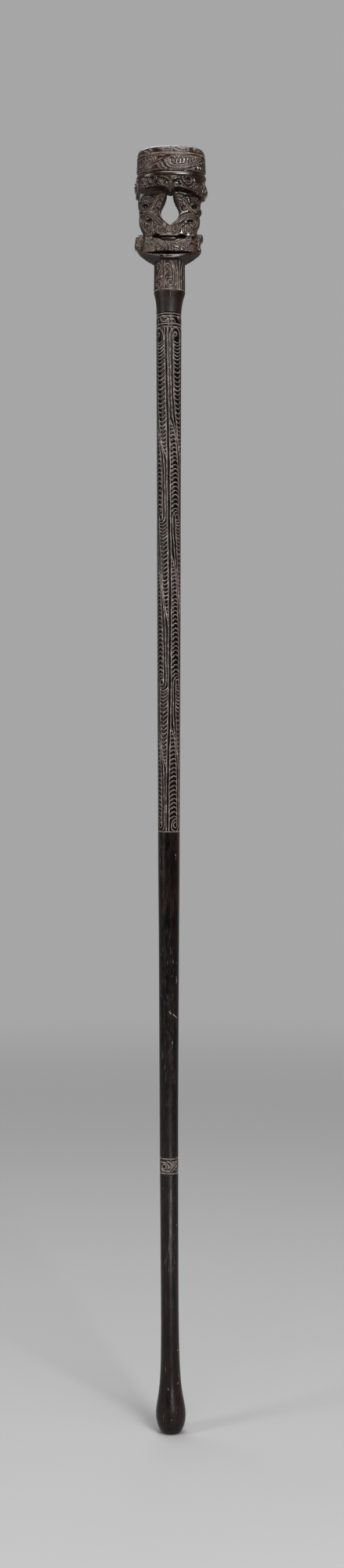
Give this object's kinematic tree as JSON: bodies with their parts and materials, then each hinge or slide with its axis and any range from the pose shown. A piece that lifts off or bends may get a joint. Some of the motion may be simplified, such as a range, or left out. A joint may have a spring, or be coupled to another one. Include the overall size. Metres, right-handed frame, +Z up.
{
  "type": "walking stick",
  "caption": "Hand-carved black ebony walking stick with an openwork scroll finial, lime-filled engraving, a tapered shaft and a knob foot.",
  "frame": {"origin": "centre of the small flat under the knob foot", "axes": "+Z up the stick to the finial, -Y towards the finial's front face, +X to the viewer's right when that face is looked at"},
  "size_m": [0.0545, 0.0327, 0.945],
  "materials": {
    "ebony": "satin",
    "lime": "matte"
  },
  "bodies": {
    "root": {"ebony_stick": "ebony", "lime_eye_upper_back_left": "lime", "lime_eye_upper_back_right": "lime", "lime_eye_upper_front_left": "lime", "lime_eye_upper_front_right": "lime", "lime_ring_band_lower": "lime", "lime_ring_band_upper": "lime", "lime_ring_collar": "lime", "lime_ring_drum_crown": "lime", "lime_ring_drum_foot": "lime", "lime_ring_engraving_end": "lime", "lime_ring_neck_1": "lime", "lime_ring_neck_2": "lime", "lime_ring_neck_3": "lime", "lime_ring_neck_4": "lime", "lime_spiral_inner_back_left": "lime", "lime_spiral_inner_back_right": "lime", "lime_spiral_inner_front_left": "lime", "lime_spiral_inner_front_right": "lime", "lime_spiral_outer_back_left": "lime", "lime_spiral_outer_back_right": "lime", "lime_spiral_outer_front_left": "lime", "lime_spiral_outer_front_right": "lime"}
  },
  "joints": []
}
